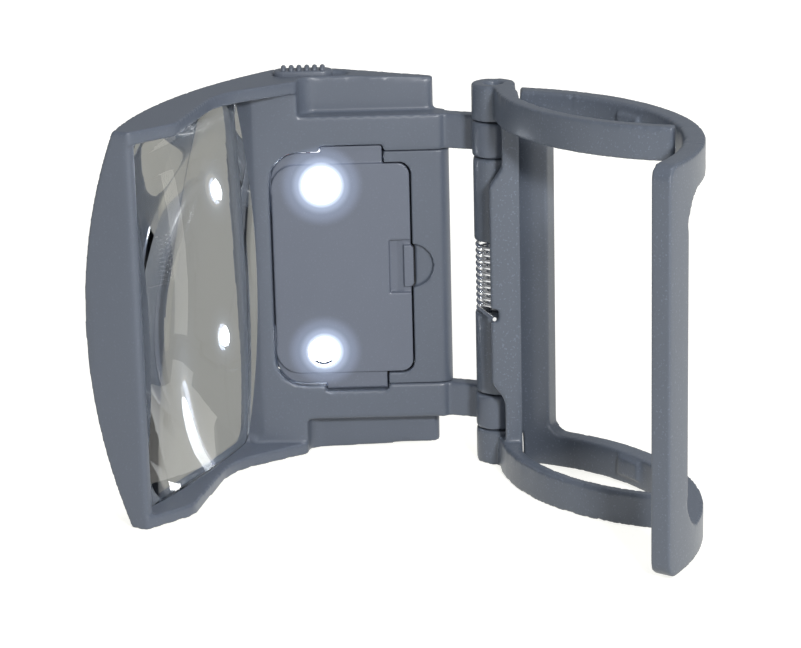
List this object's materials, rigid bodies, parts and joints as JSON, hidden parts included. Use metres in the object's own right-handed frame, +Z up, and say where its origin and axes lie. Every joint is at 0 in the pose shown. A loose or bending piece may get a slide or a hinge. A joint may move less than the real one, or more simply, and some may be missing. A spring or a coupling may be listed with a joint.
{
  "type": "lighted clip-on loupe",
  "caption": "Sprung two-jaw bottle clip with a swinging lighted magnifier head, a battery case with a hinged door and a sliding switch.",
  "frame": {"origin": "axis of the hinge pin, in the plane of the underside on which the loupe stands", "axes": "+Z up along the hinge pin, +X along the clip away from the head, +Y to the back of the head's case"},
  "size_m": [0.1186, 0.0934, 0.0816],
  "materials": {
    "shell": "satin",
    "case_shell": "satin",
    "door_shell": "satin",
    "knob": "satin",
    "pin_steel": "bright",
    "spring_steel": "bright",
    "screw_steel": "zinc",
    "lens": "clear",
    "light": "clear, lit",
    "cell_wrap": "plain sleeve",
    "contact_metal": "nickel",
    "board": "lacquer",
    "resistor": "lacquer",
    "black_plastic": "plain",
    "wire_red": "plain"
  },
  "bodies": {
    "clip": {"rear_jaw": "shell", "hinge_pin": "pin_steel", "jaw_spring": "spring_steel"},
    "jaw": {"front_jaw": "shell"},
    "head": {"head_frame": "shell", "battery_case": "case_shell", "rear_cover": "shell", "cover_screws": "screw_steel", "lens": "lens", "lens_ring": "shell", "cell_left": "cell_wrap", "cell_right": "cell_wrap", "bridge_contact": "contact_metal", "contact_springs": "contact_metal", "tab_contacts": "contact_metal", "light_board": "board", "light_upper": "light", "light_lower": "light", "resistor": "resistor", "switch_body": "black_plastic", "lead_wires": "wire_red"},
    "knob": {"switch_knob": "knob"},
    "door": {"battery_door": "door_shell"}
  },
  "joints": [
    {"name": "jaw_hinge", "type": "hinge", "parent": "clip", "child": "jaw", "pos_m": [0, 0, 0.04], "axis": [0, 0, -1], "range_deg": [0, 55], "stiffness_Nm_per_rad": 0.02, "springref_deg": -85.94, "deforming": ["jaw_spring"]},
    {"name": "head_hinge", "type": "hinge", "parent": "clip", "child": "head", "pos_m": [0, 0, 0.04], "axis": [0, 0, -1], "range_deg": [-55, 90]},
    {"name": "switch_slide", "type": "slide", "parent": "head", "child": "knob", "axis": [1, 0, 0], "range_m": [0, 0.003]},
    {"name": "door_hinge", "type": "hinge", "parent": "head", "child": "door", "pos_m": [-0.0454, 0.0066, 0.04], "axis": [0, 0, -1], "range_deg": [0, 60]}
  ]
}
